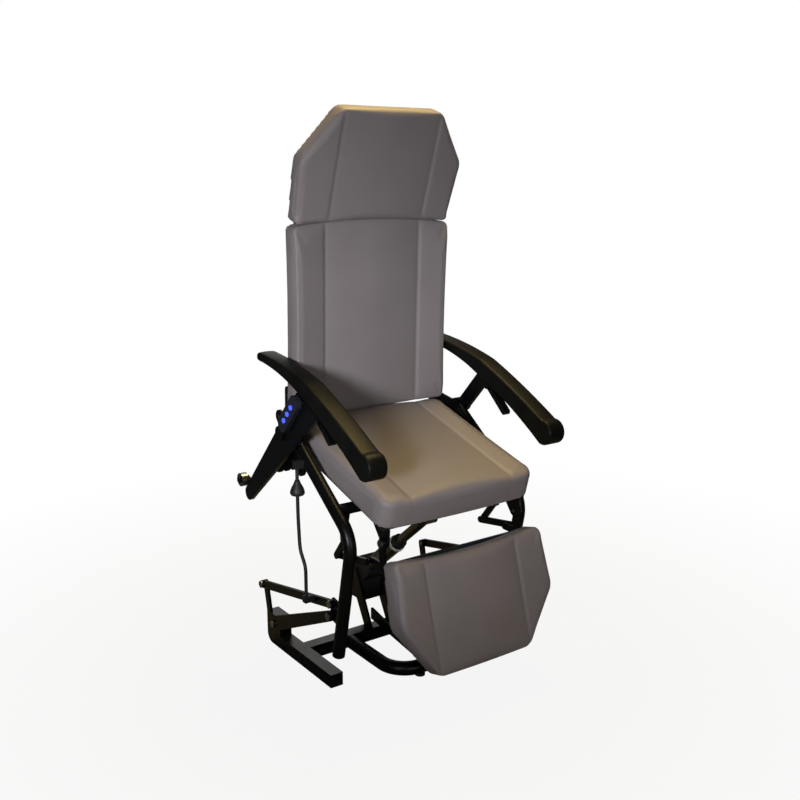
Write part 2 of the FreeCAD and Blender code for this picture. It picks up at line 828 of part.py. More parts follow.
def actuator_lug(name, sign):
    """One of the two ears under the front cross tube that take the actuator's upper pin."""
    y, z = front_cross
    wide = 1.5 * cross_radius
    eye = size("rod_eye_radius")
    outline = [
        (y + wide, z),
        (y + cross_radius, z),
        ("arc", (y, z - cross_radius), (y - cross_radius, z)),
        (y - wide, z),
        polar(lug_pivot, eye, 160),
        ("arc", polar(lug_pivot, eye, -110), polar(lug_pivot, eye, -20)),
    ]
    return plate(name, outline, [(lug_pivot, cell("actuator_pin_radius"))],
                 near_x(sign, eye_lug_inner, eye_lug_outer), cell("lug_thickness"))


def cross_tube(name, centre, reach):
    tube = pin_x(name + "_tube", cell("seat_cross_diameter") + " / 2", 1, -reach, reach, centre)
    bore_radius = "%s / 2 - %s" % (cell("seat_cross_diameter"), cell("side_tube_wall"))
    bore = pin_x(name + "_bore", bore_radius, 1, -reach, reach, centre)
    return less(name, tube, bore)


def cope(name, sign):
    """The space that a side tube's upper run takes out of a cross tube's end."""
    cutter = bar_z(name, cell("side_tube_diameter") + " / 2", cell("run_length"), (0, 0, 0))
    cutter.Placement = Placement(Vector(sign * side_x, *corner), turn(size("run_slope") - 90))
    return cutter


def make_seat_frame():
    for side, sign in SIDES:
        keep("side_tube_" + side, side_tube("side_tube_" + side, sign), SEAT)
    pair("side_tube_plugs", foot_plug, SEAT)
    pair("arm_pivots", arm_pivot, SEAT)
    pairs("link_lugs", (link_lug, gusset), SEAT)
    pairs("hinge_plates", (hinge_plate, arm_hub), SEAT)
    pairs("leg_brackets", (leg_bracket, rocker_hanger), SEAT)

    copes = [cope("front_cross_cope_" + side, sign) for side, sign in SIDES]
    front = less("front_cross", cross_tube("front_cross", front_cross, side_x), *copes)
    rear = cross_tube("rear_cross", rear_cross, tube_inner)
    lugs = [actuator_lug("actuator_lug_" + side, sign) for side, sign in SIDES]
    keep("seat_cross_tubes", group("seat_cross_tubes", front, rear, *lugs), SEAT)

    board_half = size("seat_width") / 2 - size("board_inset")
    seat_board = box("seat_board_block", "%s - 2 * %s" % (cell("seat_width"), cell("board_inset")),
                     "%s - 2 * %s" % (cell("seat_depth"), cell("board_inset")), cell("board_thickness"),
                     (-board_half, size("seat_front") + size("board_inset"), size("seat_board_bottom")))
    keep("seat_board", seat_board, SEAT)

    pins = [pin_x("actuator_top_pin", cell("actuator_pin_radius"), 1, -eye_lug_outer, eye_lug_outer,
                  lug_pivot)]
    ear_from = back_tube_x + size("back_tube_diameter") / 2
    leg_head = leg_arm_x + size("ear_thickness") + size("side_gap")
    for side, sign in SIDES:
        for which, centre in (("upper", pivot_c_seat), ("lower", pivot_d_seat)):
            pins.append(headed_pin("frame_pin_%s_%s" % (which, side), sign, cell("link_pin_radius"),
                                   lug_inner, head_inner, centre))
        pins.append(headed_pin("leg_pin_" + side, sign, cell("hinge_pin_radius"), bracket_inner, leg_head,
                               leg_hinge))
        pins.append(pin_x("back_pin_" + side, cell("hinge_pin_radius"), sign, ear_from, tube_inner,
                          back_hinge))
        pins.append(pin_x("rocker_pin_" + side, cell("linkage_pin_radius"), sign,
                          rocker_from - size("side_gap"), hanger_from + size("ear_thickness"), rocker_top))
    keep("seat_frame_pins", group("seat_frame_pins", *pins), SEAT)


# Cushions: crowned, with drawn-in sides, rounded ends and two sewn channels

SIDE_SHARE = 0.86
DRAWN_IN_SHARE = 0.05
WING_SHARE = 0.9
CROWN_SHARE = 0.1
GROOVE_SHARE = 0.12
SEAT_CHANNEL = 0.66
PANEL_CHANNEL = 0.6


def cushion_section(half, thick, channel_share, crown, groove):
    """One cross-section: flat behind, drawn in along the sides, three swelling panels in front."""
    channel = half * channel_share
    edge = SIDE_SHARE * thick
    draw_in = DRAWN_IN_SHARE * thick
    swell = WING_SHARE * crown
    valley = thick - groove
    panel_mid = (half + channel) / 2
    panel_top = (edge + valley) / 2 + swell
    return [
        (half - draw_in, 0),
        ("arc", (half - 2.2 * draw_in, -edge / 2), (half, -edge)),
        ("arc", (panel_mid, -panel_top), (channel, -valley)),
        ("arc", (0, -thick - crown), (-channel, -valley)),
        ("arc", (-panel_mid, -panel_top), (-half, -edge)),
        ("arc", (-half + 2.2 * draw_in, -edge / 2), (-half + draw_in, 0)),
    ]


def cushion(name, width, length, thick, shape, place, channel_share):
    """A loft along the cushion: shape lists the share of the length, of the width and of the thickness."""
    body = doc.addObject("PartDesign::Body", name)
    crown = CROWN_SHARE * thick
    sections = []
    for number, (along, wide, deep) in enumerate(shape):
        offset = Placement(Vector(0, 0, along * length), Rotation())
        sketch = sketch_on(body, "XY_Plane", "%s_section_%d" % (name, number), offset)
        draw(sketch, cushion_section(wide * width / 2, deep * (thick - crown), channel_share,
                                     deep * crown, GROOVE_SHARE * deep * thick))
        sections.append(sketch)
    loft = body.newObject("PartDesign::AdditiveLoft", name + "_loft")
    loft.Profile = sections[0]
    loft.Sections = sections[1:]
    loft.Ruled = True
    keep(name, body, place)


ROUNDED = [(0, 0.975, 0.84), (0.02, 0.995, 0.96), (0.06, 1, 1), (0.5, 0.985, 1),
           (0.94, 1, 1), (0.98, 0.995, 0.96), (1, 0.975, 0.84)]
CUT_TOP = [(0, 0.94, 0.84), (0.03, 0.96, 0.96), (0.08, 0.965, 1), (0.55, 1, 1),
           (0.92, 0.67, 0.99), (0.97, 0.635, 0.95), (1, 0.61, 0.82)]
CUT_FOOT = [(0, 0.61, 0.82), (0.03, 0.635, 0.95), (0.08, 0.67, 0.99), (0.45, 1, 1),
            (0.92, 0.965, 1), (0.97, 0.96, 0.96), (1, 0.94, 0.84)]


def board_outline(width, low, high, shape):
    """A board's outline in X and Z that follows the cushion's width."""
    inset = size("board_inset")
    length = high - low
    right = [(wide * width / 2 - inset, low + inset + along * (length - 2 * inset))
             for along, wide, deep in shape]
    left = [(-x, z) for x, z in reversed(right)]
    return right + left


def board(name, outline, front_y, place):
    """A board behind a cushion, drawn in X and Z, its front at front_y."""
    body = doc.addObject("PartDesign::Body", name)
    offset = Placement(Vector(0, 0, -front_y), Rotation())
    sketch = sketch_on(body, "XZ_Plane", name + "_outline", offset)
    draw(sketch, outline)
    pad = body.newObject("PartDesign::Pad", name + "_pad")
    pad.Profile = sketch
    pad.Reversed = True
    pad.setExpression("Length", cell("board_thickness"))
    keep(name, body, place)


def make_soft_panels():
    gap = size("cushion_clearance")
    seat_place = Placement(
        Vector(0, size("seat_front"), size("seat_board_bottom") + size("board_thickness") + gap), turn(-90))
    cushion("seat_cushion", size("seat_width"), size("seat_depth"), size("seat_cushion_height"), ROUNDED,
            SEAT * seat_place, SEAT_CHANNEL)

    board_rear = -size("back_tube_diameter") / 2
    board_front = board_rear - size("board_thickness")
    low = size("back_rise")
    high = low + size("back_length")
    back_width = size("seat_width") + size("back_overhang")
    cushion("back_cushion", back_width, size("back_length"), size("back_thickness"), ROUNDED,
            BACK * Placement(Vector(0, board_front - gap, low), Rotation()), PANEL_CHANNEL)
    board("back_board", board_outline(back_width, low, high, ROUNDED), board_front, BACK)

    low = size("head_rise")
    high = low + size("head_length")
    head_width = size("seat_width") + size("head_overhang")
    cushion("head_cushion", head_width, size("head_length"), size("head_thickness"), CUT_TOP,
            HEAD * Placement(Vector(0, board_front - gap, low), Rotation()), PANEL_CHANNEL)
    board("head_board", board_outline(head_width, low, high, CUT_TOP), board_front, HEAD)

    high = -size("leg_drop")
    low = high - size("leg_length")
    leg_front = -size("board_thickness")
    leg_width = size("seat_width") + size("leg_overhang")
    cushion("leg_cushion", leg_width, size("leg_length"), size("leg_thickness"), CUT_FOOT,
            LEG * Placement(Vector(0, leg_front - gap, low), Rotation()), PANEL_CHANNEL)
    board("leg_board", board_outline(leg_width, low, high, CUT_FOOT), leg_front, LEG)


# Frames of the back, headrest and leg rest

half_tube = size("back_tube_diameter") / 2
ear_radius = size("ear_radius")
ear_thick = size("ear_thickness")
head_pivot = (0, head_hinge_rise)
tube_top = head_hinge_rise - 2 * ear_radius
back_bore = "%s / 2 - %s" % (cell("back_tube_diameter"), cell("back_tube_wall"))
head_ear_outer = back_tube_x - half_tube
head_ear_inner = head_ear_outer - ear_thick
head_arm_outer = head_ear_inner - size("side_gap")
hinge_hole = [((0, 0), fit("hinge_pin_radius"))]


def back_tube(name, sign):
    tube = doc.addObject("Part::Cylinder", name + "_outer")
    tube.setExpression("Radius", cell("back_tube_diameter") + " / 2")
    tube.Height = tube_top
    tube.Placement = Placement(Vector(sign * back_tube_x, 0, 0), Rotation())
    bore = doc.addObject("Part::Cylinder", name + "_bore")
    bore.setExpression("Radius", back_bore)
    bore.Height = tube_top
    bore.Placement = tube.Placement
    return less(name, tube, bore)


def back_ear(name, sign):
    outer = back_tube_x + half_tube
    return plate(name, strap((0, 0), (0, 5 * ear_radius), half_tube, half_tube), hinge_hole,
                 near_x(sign, outer, outer + ear_thick), cell("ear_thickness"))


def head_ear(name, sign):
    outline = strap((0, tube_top - 3 * ear_radius), head_pivot, half_tube, half_tube)
    return plate(name, outline, [(head_pivot, cell("hinge_pin_radius"))],
                 near_x(sign, head_ear_inner, head_ear_outer), cell("ear_thickness"))


def head_arm(name, sign):
    top = size("head_rise") + 0.5 * size("head_length")
    outline = [
        polar((0, 0), half_tube, 180),
        ("arc", polar((0, 0), half_tube, -90), polar((0, 0), half_tube, 0)),
        (half_tube / 2, top),
        (-half_tube, top),
    ]
    return plate(name, outline, hinge_hole, near_x(sign, head_arm_outer - ear_thick, head_arm_outer),
                 cell("ear_thickness"))


def leg_arm(name, sign):
    low = -size("leg_arm_length")
    high = -size("leg_drop")
    outline = [
        (0, high),
        (0, low),
        (1.5 * ear_radius, low),
        (1.5 * ear_radius, high),
        polar((0, 0), ear_radius, 0),
        ("arc", polar((0, 0), ear_radius, 90), polar((0, 0), ear_radius, 180)),
    ]
    x = near_x(sign, leg_arm_x, leg_arm_x + ear_thick)
    half = size("linkage_width") / 2
    arm = plate(name + "_plate", outline, hinge_hole, x, cell("ear_thickness"))
    root = (ear_radius, lever_leg[1] - ear_radius)
    lobe = plate(name + "_lobe", strap(root, lever_leg, half, half), [], x, cell("ear_thickness"))
    pin = pin_x(name + "_pin", cell("linkage_pin_radius"), sign, leg_arm_x, bar_to + size("side_gap"),
                lever_leg)
    return join(name, arm, lobe, pin)


def head_pin(name, sign):
    inner = head_arm_outer - ear_thick - size("side_gap")
    return pin_x(name, cell("hinge_pin_radius"), sign, inner, head_ear_outer, head_pivot)


def make_panel_frames():
    reach = back_tube_x - half_tube
    height = (0, size("back_cross_z"))
    bar = pin_x("back_cross_outer", cell("back_tube_diameter") + " / 2", 1, -reach, reach, height)
    bore = pin_x("back_cross_bore", back_bore, 1, -reach, reach, height)
    tubes = [back_tube("back_tube_" + side, sign) for side, sign in SIDES]
    keep("back_frame_tubes", group("back_frame_tubes", less("back_cross", bar, bore), *tubes), BACK)
    ears = []
    for side, sign in SIDES:
        ears.append(back_ear("back_ear_" + side, sign))
        ears.append(head_ear("head_ear_" + side, sign))
    keep("back_ears", group("back_ears", *ears), BACK)
    pair("head_hinge_pins", head_pin, BACK)
    pair("head_arms", head_arm, HEAD)
    pair("leg_arms", leg_arm, LEG)
    pair("leg_rockers", leg_rocker, SEAT)
    pair("push_bars", push_bar, SEAT)


# Arms

HANDSET_SIDE = "left"
UNDER_FRONT = (0.397, 0.519)
UNDER_REAR = (0.637, 0.687)


def on_pad(share):
    """A point of the arm pad's side view from its shares of the pad's length and rise."""
    from_flat = share[0] - UNDER_REAR[0]
    return (hub[0] - size("arm_pad_set") + from_flat * size("arm_pad_length"),
            hub[1] + size("arm_pad_above") + share[1] * size("arm_pad_rise"))


def pad_under(y):
    """The height of the pad's flat underside, where the bar and the trigger are fixed."""
    front, rear = on_pad(UNDER_FRONT), on_pad(UNDER_REAR)
    return front[1] + (y - front[0]) * (rear[1] - front[1]) / (rear[0] - front[0])


def pad_outline():
    """The arm pad seen from its side, in the seat frame: thin behind, deep and drooping in front."""
    rear_top = (0.992, 0.779)
    return [
        on_pad(rear_top),
        ("arc", on_pad((0.797, 0.931)), on_pad((0.557, 1.0))),
        ("arc", on_pad((0.333, 0.850)), on_pad((0.077, 0.600))),
        ("arc", on_pad((0.0, 0.370)), on_pad((0.061, 0.080))),
        ("arc", on_pad((0.24, 0.345)), on_pad(UNDER_FRONT)),
        on_pad(UNDER_REAR),
        ("arc", on_pad((0.797, 0.710)), on_pad((0.981, 0.611))),
        ("arc", on_pad((1.0, 0.687)), on_pad(rear_top)),
    ]


def make_arms():
    bar_half = size("arm_bar_width") / 2
    bar_end = along_bar(size("arm_bar_drop"))
    bar_tilt = size("arm_bar_slope")
    top_rear = on_pad(UNDER_REAR)[0] - size("arm_bar_top_inset")
    slim_front = top_rear - size("arm_bar_width") / math.cos(math.radians(bar_tilt))
    wide_front = on_pad(UNDER_FRONT)[0] + size("arm_bar_top_inset")
    roller = (bar_end[0] + size("roller_back") * math.cos(math.radians(bar_tilt)),
              bar_end[1] + size("roller_back") * math.sin(math.radians(bar_tilt)))
    roller_from = bar_inner + size("side_gap")
    roller_to = roller_from + size("roller_width") + size("side_gap")
    for side, sign in SIDES:
        name = "arm_bar_" + side
        top_front = wide_front if side == HANDSET_SIDE else slim_front
        outline = [
            (top_front, pad_under(top_front)),
            polar(bar_end, bar_half, bar_tilt + 180),
            ("arc", polar(bar_end, bar_half, bar_tilt - 90), polar(bar_end, bar_half, bar_tilt)),
            (top_rear, pad_under(top_rear)),
        ]
        bar = plate(name + "_strap", outline, [(hub, fit("arm_pin_radius"))],
                    near_x(sign, bar_inner, bar_outer), cell("arm_bar_thickness"))
        heel = along_bar(size("arm_bar_drop") - bar_half)
        ear = plate(name + "_ear", strap(heel, roller, bar_half / 2, bar_half / 2), [],
                    near_x(sign, bar_inner - ear_thick, bar_inner), cell("ear_thickness"))
        axle = pin_x(name + "_axle", cell("roller_axle_radius"), sign, bar_inner, roller_to, roller)
        nut = pin_x(name + "_nut", "2 * " + cell("roller_axle_radius"), sign, roller_to,
                    roller_to + size("pin_head_height"), roller)
        keep(name, join(name, bar, ear, axle, nut), SEAT)

        name = "arm_pad_" + side
        pad_inner = bar_outer - size("arm_pad_width")
        pad = plate(name, pad_outline(), [], near_x(sign, pad_inner, bar_outer), cell("arm_pad_width"))
        round_edges(pad, name + "_corners", "arm_pad_corner", lambda edge: edge.BoundBox.XLength > SMALL)
        round_edges(pad, name + "_rims", "arm_pad_round", lambda edge: edge.BoundBox.XLength < SMALL)
        keep(name, pad, SEAT)

        name = "roller_" + side
        wheel_end = roller_to - size("side_gap")
        wheel = pin_x(name + "_wheel", cell("roller_radius"), sign, roller_from, wheel_end, roller)
        bore = pin_x(name + "_bore", fit("roller_axle_radius"), sign, roller_from, wheel_end, roller)
        keep(name, less(name, wheel, bore), SEAT)

        make_trigger(side, sign, pad_inner)


def make_trigger(side, sign, pad_inner):
    """The recline trigger under an arm pad: two cheeks with a pin, and the lever between them."""
    middle = pad_inner + size("arm_pad_width") / 2
    half = size("trigger_width") / 2
    eye = size("trigger_radius")
    hinge_y = hub[0] - size("trigger_ahead")
    hinge = (hinge_y, pad_under(hinge_y) - 2 * eye)
    front, rear = hinge_y - 2 * eye, hinge_y + 2 * eye
    cheek = 2 * size("trigger_pin_radius")
    span = half + size("side_gap") + cheek
    parts = []
    for number, inner in enumerate((middle - span, middle + span - cheek)):
        outline = [(front, pad_under(front)), polar(hinge, eye, 180),
                   ("arc", polar(hinge, eye, -90), polar(hinge, eye, 0)), (rear, pad_under(rear))]
        parts.append(plate("trigger_cheek_%s_%d" % (side, number), outline, [],
                           near_x(sign, inner, inner + cheek), "2 * " + cell("trigger_pin_radius")))
    pin = doc.addObject("Part::Cylinder", "trigger_pin_" + side)
    pin.setExpression("Radius", cell("trigger_pin_radius"))
    pin.Height = 2 * span
    pin.Placement = Placement(Vector(sign * middle - span, *hinge), Rotation(Vector(0, 1, 0), 90))
    keep("trigger_bracket_" + side, join("trigger_bracket_" + side, pin, *parts), SEAT)

    tip = polar(hinge, size("trigger_length"), 180 + size("trigger_tilt"))
    trigger = plate("trigger_" + side, strap(hinge, tip, eye, eye), [(hinge, fit("trigger_pin_radius"))],
                    near_x(sign, middle - half, middle + half), cell("trigger_width"))
    keep("trigger_" + side, trigger, SEAT)


# Handset on the left arm

def make_handset():
    centre = along_bar(-size("handset_reach"))
    tilt = size("arm_bar_slope")
    face = -(bar_outer + size("handset_thickness"))
    local = SEAT * Placement(Vector(0, *centre), turn(tilt))
    shell = box("handset_block", cell("handset_thickness"), cell("handset_width"), cell("handset_length"),
                (face, -size("handset_width") / 2, -size("handset_length") / 2))
    upright_edges = doc.addObject("Part::Fillet", "handset_rounded")
    upright_edges.Base = shell
    doc.recompute()
    corner_radius = size("handset_width") / 2.2
    long_edges = [number for number, edge in enumerate(shell.Shape.Edges, start=1)
                  if abs(edge.BoundBox.XLength - size("handset_thickness")) < SMALL
                  and edge.BoundBox.YLength < SMALL and edge.BoundBox.ZLength < SMALL]
    upright_edges.Edges = [(number, corner_radius, corner_radius) for number in long_edges]
    pockets = []
    for number in range(3):
        spot = (number - 1) * size("button_pitch")
        pocket_depth = "%s + %s" % (cell("button_depth"), cell("button_travel"))
        pocket_radius = "%s + %s" % (cell("button_radius"), cell("button_clearance"))
        pockets.append(bar_x("button_pocket_%d" % number, pocket_radius, pocket_depth, (face, 0, spot)))
        button = bar_x("handset_button_%d_disc" % (number + 1), cell("button_radius"),
                       "%s + %s" % (cell("button_proud"), cell("button_depth")),
                       (face - size("button_proud"), 0, spot))
        keep("handset_button_%d" % (number + 1), group("handset_button_%d" % (number + 1), button), local)
    keep("handset", less("handset", upright_edges, *pockets), local)


# Actuator

def hollow(node, outer, inner, length, start, place):
    """A round sleeve along the actuator's axis."""
    sleeve = bar_z(node + "_outer", outer, length, (0, 0, start))
    bore = bar_z(node + "_bore", inner, length, (0, 0, start))
    keep(node, less(node, sleeve, bore), place)


def make_actuator():
    lug_floor = seat_to_floor(lug_pivot)
    span = math.dist(actuator_pivot, lug_floor)
    lean_forward = math.degrees(math.atan2(actuator_pivot[0] - lug_floor[0],
                                           lug_floor[1] - actuator_pivot[1]))
    axis = FLOOR * Placement(Vector(0, *actuator_pivot), turn(lean_forward))
    motor_low = -0.35 * size("motor_length")

    gearbox = box("actuator_gearbox", cell("motor_width"), cell("motor_depth"), cell("motor_length"),
                  (-motor_half, -size("motor_depth") / 2, motor_low))
    can = box("actuator_can", cell("motor_width"), cell("motor_depth"), cell("motor_drop"),
              (-motor_half, -size("motor_depth") / 2, -size("motor_drop")))
    can.Placement = Placement(Vector(), turn(-lean_forward)) * can.Placement
    pin_bore = bar_x("actuator_pin_bore", fit("actuator_pin_radius"), cell("motor_width"),
                     (-motor_half, 0, 0))
    keep("actuator_motor", less("actuator_motor", join("actuator_motor", gearbox, can), pin_bore), axis)

    bore_radius = cell("cylinder_bore_radius")
    tube_from = motor_low + size("motor_length")
    ring_from = tube_from + size("cylinder_length")
    gland_from = ring_from + size("ring_length")
    hollow("actuator_tube", cell("cylinder_radius"), bore_radius, cell("cylinder_length"), tube_from, axis)
    hollow("actuator_ring", cell("ring_radius"), bore_radius, cell("ring_length"), ring_from, axis)
    hollow("actuator_gland", cell("gland_radius"), bore_radius, cell("gland_length"), gland_from, axis)

    rod = doc.addObject("Part::Cylinder", "actuator_rod_shaft")
    rod.setExpression("Radius", cell("rod_radius"))
    rod.Height = span - size("rod_start")
    rod.Placement = Placement(Vector(0, 0, size("rod_start")), Rotation())
    eye_half = size("rod_eye_width") / 2
    eye = bar_x("actuator_rod_eye", cell("rod_eye_radius"), cell("rod_eye_width"), (-eye_half, 0, span))
    open_hole = "%s + %s" % (cell("actuator_pin_radius"), cell("open_pivot_clearance"))
    eye_bore = bar_x("actuator_eye_bore", open_hole, cell("rod_eye_width"), (-eye_half, 0, span))
    keep("actuator_rod", less("actuator_rod", join("actuator_rod", rod, eye), eye_bore), axis)


# Cable from the left side tube down to the upper link

CABLE_FOOT = [(24, 400), (-6, 356), (-6, 270)]


def cable_route():
    """The cable's corners before the origin's setback: straight down near the hub, then to the link."""
    y, z = seat_to_floor(hub)
    top = (y - size("cable_top_ahead"), z - size("cable_top_below"))
    return [top, (top[0], top[1] - size("cable_straight"))] + CABLE_FOOT


def make_cable():
    route = cable_route()
    stand_off = size("cable_stand_off")
    out = -(side_x + stand_off)
    points = [Vector(out, y, z) for y, z in route]
    radius = size("cable_diameter") / 2
    edges = []
    radii = []
    here = points[0]
    for number in range(1, len(points) - 1):
        arrive = points[number] - points[number - 1]
        leave = points[number + 1] - points[number]
        half_turn = arrive.getAngle(leave) / 2
        reach = 0.45 * min(arrive.Length, leave.Length)
        bend = reach / math.tan(half_turn)
        radii.append(round(bend))
        begin = points[number] - arrive.normalize() * reach
        end = points[number] + leave.normalize() * reach
        inward = (leave - arrive).normalize()
        middle = points[number] + inward * (bend / math.cos(half_turn) - bend)
        edges.append(Part.LineSegment(here, begin).toShape())
        edges.append(Part.Arc(begin, middle, end).toShape())
        here = end
    edges.append(Part.LineSegment(here, points[-1]).toShape())
    path = Part.Wire(edges)
    start_way = (points[1] - points[0]).normalize()
    section = Part.Wire([Part.Circle(points[0], start_way, radius).toShape()])
    cable = doc.addObject("Part::Feature", "handset_cable")
    cable.Shape = path.makePipeShell([section], True, True)
    print("cable bends", radii, "volume share", cable.Shape.Volume / (math.pi * radius ** 2 * path.Length),
          "length", round(path.Length))
    keep("handset_cable", cable, FLOOR)

    top = route[0]
    lowest = route[-1]
    clip_reach = "%s - %s / 2 + %s / 3" % (
        cell("cable_stand_off"), cell("side_tube_diameter"), cell("clip_width"))
    clip = box("cable_clip_block", clip_reach, cell("clip_depth"), cell("clip_height"),
               (out - size("clip_width") / 3, top[0] - size("clip_depth") / 2, top[1]))
    keep("cable_clip_upper", clip, FLOOR)
    low_clip = doc.addObject("Part::Box", "cable_clip_lower_block")
    low_clip.Length = side_x + stand_off - link_outer + size("clip_width") / 3
    low_clip.setExpression("Width", cell("clip_depth"))
    low_clip.setExpression("Height", cell("clip_height") + " * 0.8")
    low_clip.Placement = Placement(Vector(out - size("clip_width") / 3, lowest[0] - size("clip_depth") / 2,
                                          lowest[1] - 0.8 * size("clip_height")), Rotation())
    keep("cable_clip_lower", low_clip, FLOOR)

    swell_from = top[1] - size("bulb_drop") - size("bulb_length")
    bulb = doc.addObject("Part::Cone", "cable_bulb_cone")
    bulb.setExpression("Radius1", cell("bulb_radius"))
    bulb.setExpression("Radius2", cell("cable_diameter") + " * 0.7")
    bulb.setExpression("Height", cell("bulb_length"))
    bulb.Placement = Placement(Vector(out, top[0], swell_from), Rotation())
    core = bar_z("cable_bulb_core", cell("cable_diameter") + " / 2", cell("bulb_length"),
                 (out, top[0], swell_from))
    keep("cable_bulb", less("cable_bulb", bulb, core), FLOOR)


make_base()
make_links()
make_seat_frame()
make_soft_panels()
make_panel_frames()
make_arms()
make_handset()
make_actuator()
make_cable()
doc.recompute()

for item in doc.Objects:
    if "Invalid" in item.State or "Error" in item.State:
        raise RuntimeError("%s failed: %s" % (item.Label, item.State))
for node, piece in pieces.items():
    if piece.Shape.isNull() or not piece.Shape.isValid() or not piece.Shape.Solids:
        raise RuntimeError("%s has no sound solid" % node)

os.makedirs("parts", exist_ok=True)
for node, piece in pieces.items():
    piece.Shape.exportStep("parts/%s.step" % node)
box_all = Part.makeCompound([piece.Shape for piece in pieces.values()]).BoundBox
print(len(pieces), "sub-parts", box_all)
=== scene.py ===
# %% [markdown]
# # Patient rest chair
# A riser chair for a clinic: black tube frame, lift links, and four padded panels in taupe vinyl.
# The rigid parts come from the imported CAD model, which is loaded first and never moved.
# The soft pieces, which are the cushions, the arm pads and the handset's cable, are then modelled around it.

# %% Load the frame
import json
import math

import bmesh
import bpy
from mathutils import Matrix, Vector

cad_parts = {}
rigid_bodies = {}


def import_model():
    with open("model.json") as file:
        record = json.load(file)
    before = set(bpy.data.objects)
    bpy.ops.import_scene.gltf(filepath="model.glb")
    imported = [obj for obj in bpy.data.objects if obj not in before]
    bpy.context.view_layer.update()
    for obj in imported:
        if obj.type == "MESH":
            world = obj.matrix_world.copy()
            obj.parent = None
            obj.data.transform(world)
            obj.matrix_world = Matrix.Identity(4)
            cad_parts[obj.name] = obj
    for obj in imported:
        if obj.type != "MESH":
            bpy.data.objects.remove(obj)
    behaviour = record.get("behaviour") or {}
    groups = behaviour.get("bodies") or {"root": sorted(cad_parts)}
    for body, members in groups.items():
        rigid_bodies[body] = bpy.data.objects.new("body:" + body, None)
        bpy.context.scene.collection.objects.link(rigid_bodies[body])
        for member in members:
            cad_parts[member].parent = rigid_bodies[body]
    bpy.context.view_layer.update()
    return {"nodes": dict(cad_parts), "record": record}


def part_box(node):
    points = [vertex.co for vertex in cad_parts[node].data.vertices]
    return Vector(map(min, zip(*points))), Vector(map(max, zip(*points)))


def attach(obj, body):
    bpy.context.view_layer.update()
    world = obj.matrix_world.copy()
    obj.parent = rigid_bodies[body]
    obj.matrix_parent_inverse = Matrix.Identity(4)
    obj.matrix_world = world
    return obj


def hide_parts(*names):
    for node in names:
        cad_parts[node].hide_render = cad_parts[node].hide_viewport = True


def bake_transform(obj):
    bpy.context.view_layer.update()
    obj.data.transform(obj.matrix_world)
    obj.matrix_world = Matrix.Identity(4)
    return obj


for leftover in list(bpy.data.objects):
    bpy.data.objects.remove(leftover)

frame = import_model()
nodes = frame["nodes"]

# %% [markdown]
# ## The chair's own frames
# The seat, back, headrest and leg rest each hang on a hinge, so each has a frame of its own: a place and a
# tilt measured from the one before. Writing them once as matrices lets every cushion be modelled lying
# flat, and then set into place. One millimetre is written as MM, because Blender counts in metres.

# %% Frames of the seat and its panels
MM = 0.001


def shift(x, y, z):
    return Matrix.Translation((x * MM, y * MM, z * MM))


def tip(degrees):
    return Matrix.Rotation(math.radians(degrees), 4, "X")


FLOOR = shift(0, 5.54, 0)
SEAT = FLOOR @ shift(0, -93, 235) @ tip(16)
BACK = SEAT @ shift(0, 448, 394) @ tip(-14.2)
HEAD = BACK @ shift(0, 0, 560) @ tip(16.9)
LEG = SEAT @ shift(0, -77, 275) @ tip(-31.9)
print("back hinge at", tuple(BACK.translation))

# %% [markdown]
# ## Camera
# The photograph was taken from the chair's front left, a little above the seat, with a normal lens.
# A camera is aimed by turning its own -Z axis along the line from the eye to the target.

# %% Camera
EYE = Vector((-1638.1, -2303.9, 1431.0)) * MM
TARGET = Vector((9.5, 30.2, 786.1)) * MM
lens = bpy.data.cameras.new("camera")
lens.lens = 45.0
lens.sensor_width = 36.0
camera = bpy.data.objects.new("camera", lens)
camera.location = EYE
camera.rotation_euler = (TARGET - EYE).to_track_quat("-Z", "Y").to_euler()
bpy.context.collection.objects.link(camera)
bpy.context.scene.camera = camera
bpy.context.scene.view_settings.view_transform = "Standard"
print("camera", round((TARGET - EYE).length, 3), "m from the chair")

# %% [markdown]
# ## Shader maths
# Node trees get long when every sum is a node that is placed by hand. A small class wraps a socket, so that
# `1 - mask * 0.3` adds the Math nodes by itself. One method adds any other node.

# %% A socket that can be added and multiplied
class Wire:
    def __init__(self, finish, socket):
        self.finish = finish
        self.socket = socket

    def math(self, operation, first, second):
        return self.finish.node("ShaderNodeMath", {"operation": operation}, {0: first, 1: second})

    def __add__(self, other):
        return self.math("ADD", self, other)

    def __rsub__(self, other):
        return self.math("SUBTRACT", other, self)

    def __mul__(self, other):
        return self.math("MULTIPLY", self, other)

    __radd__ = __add__


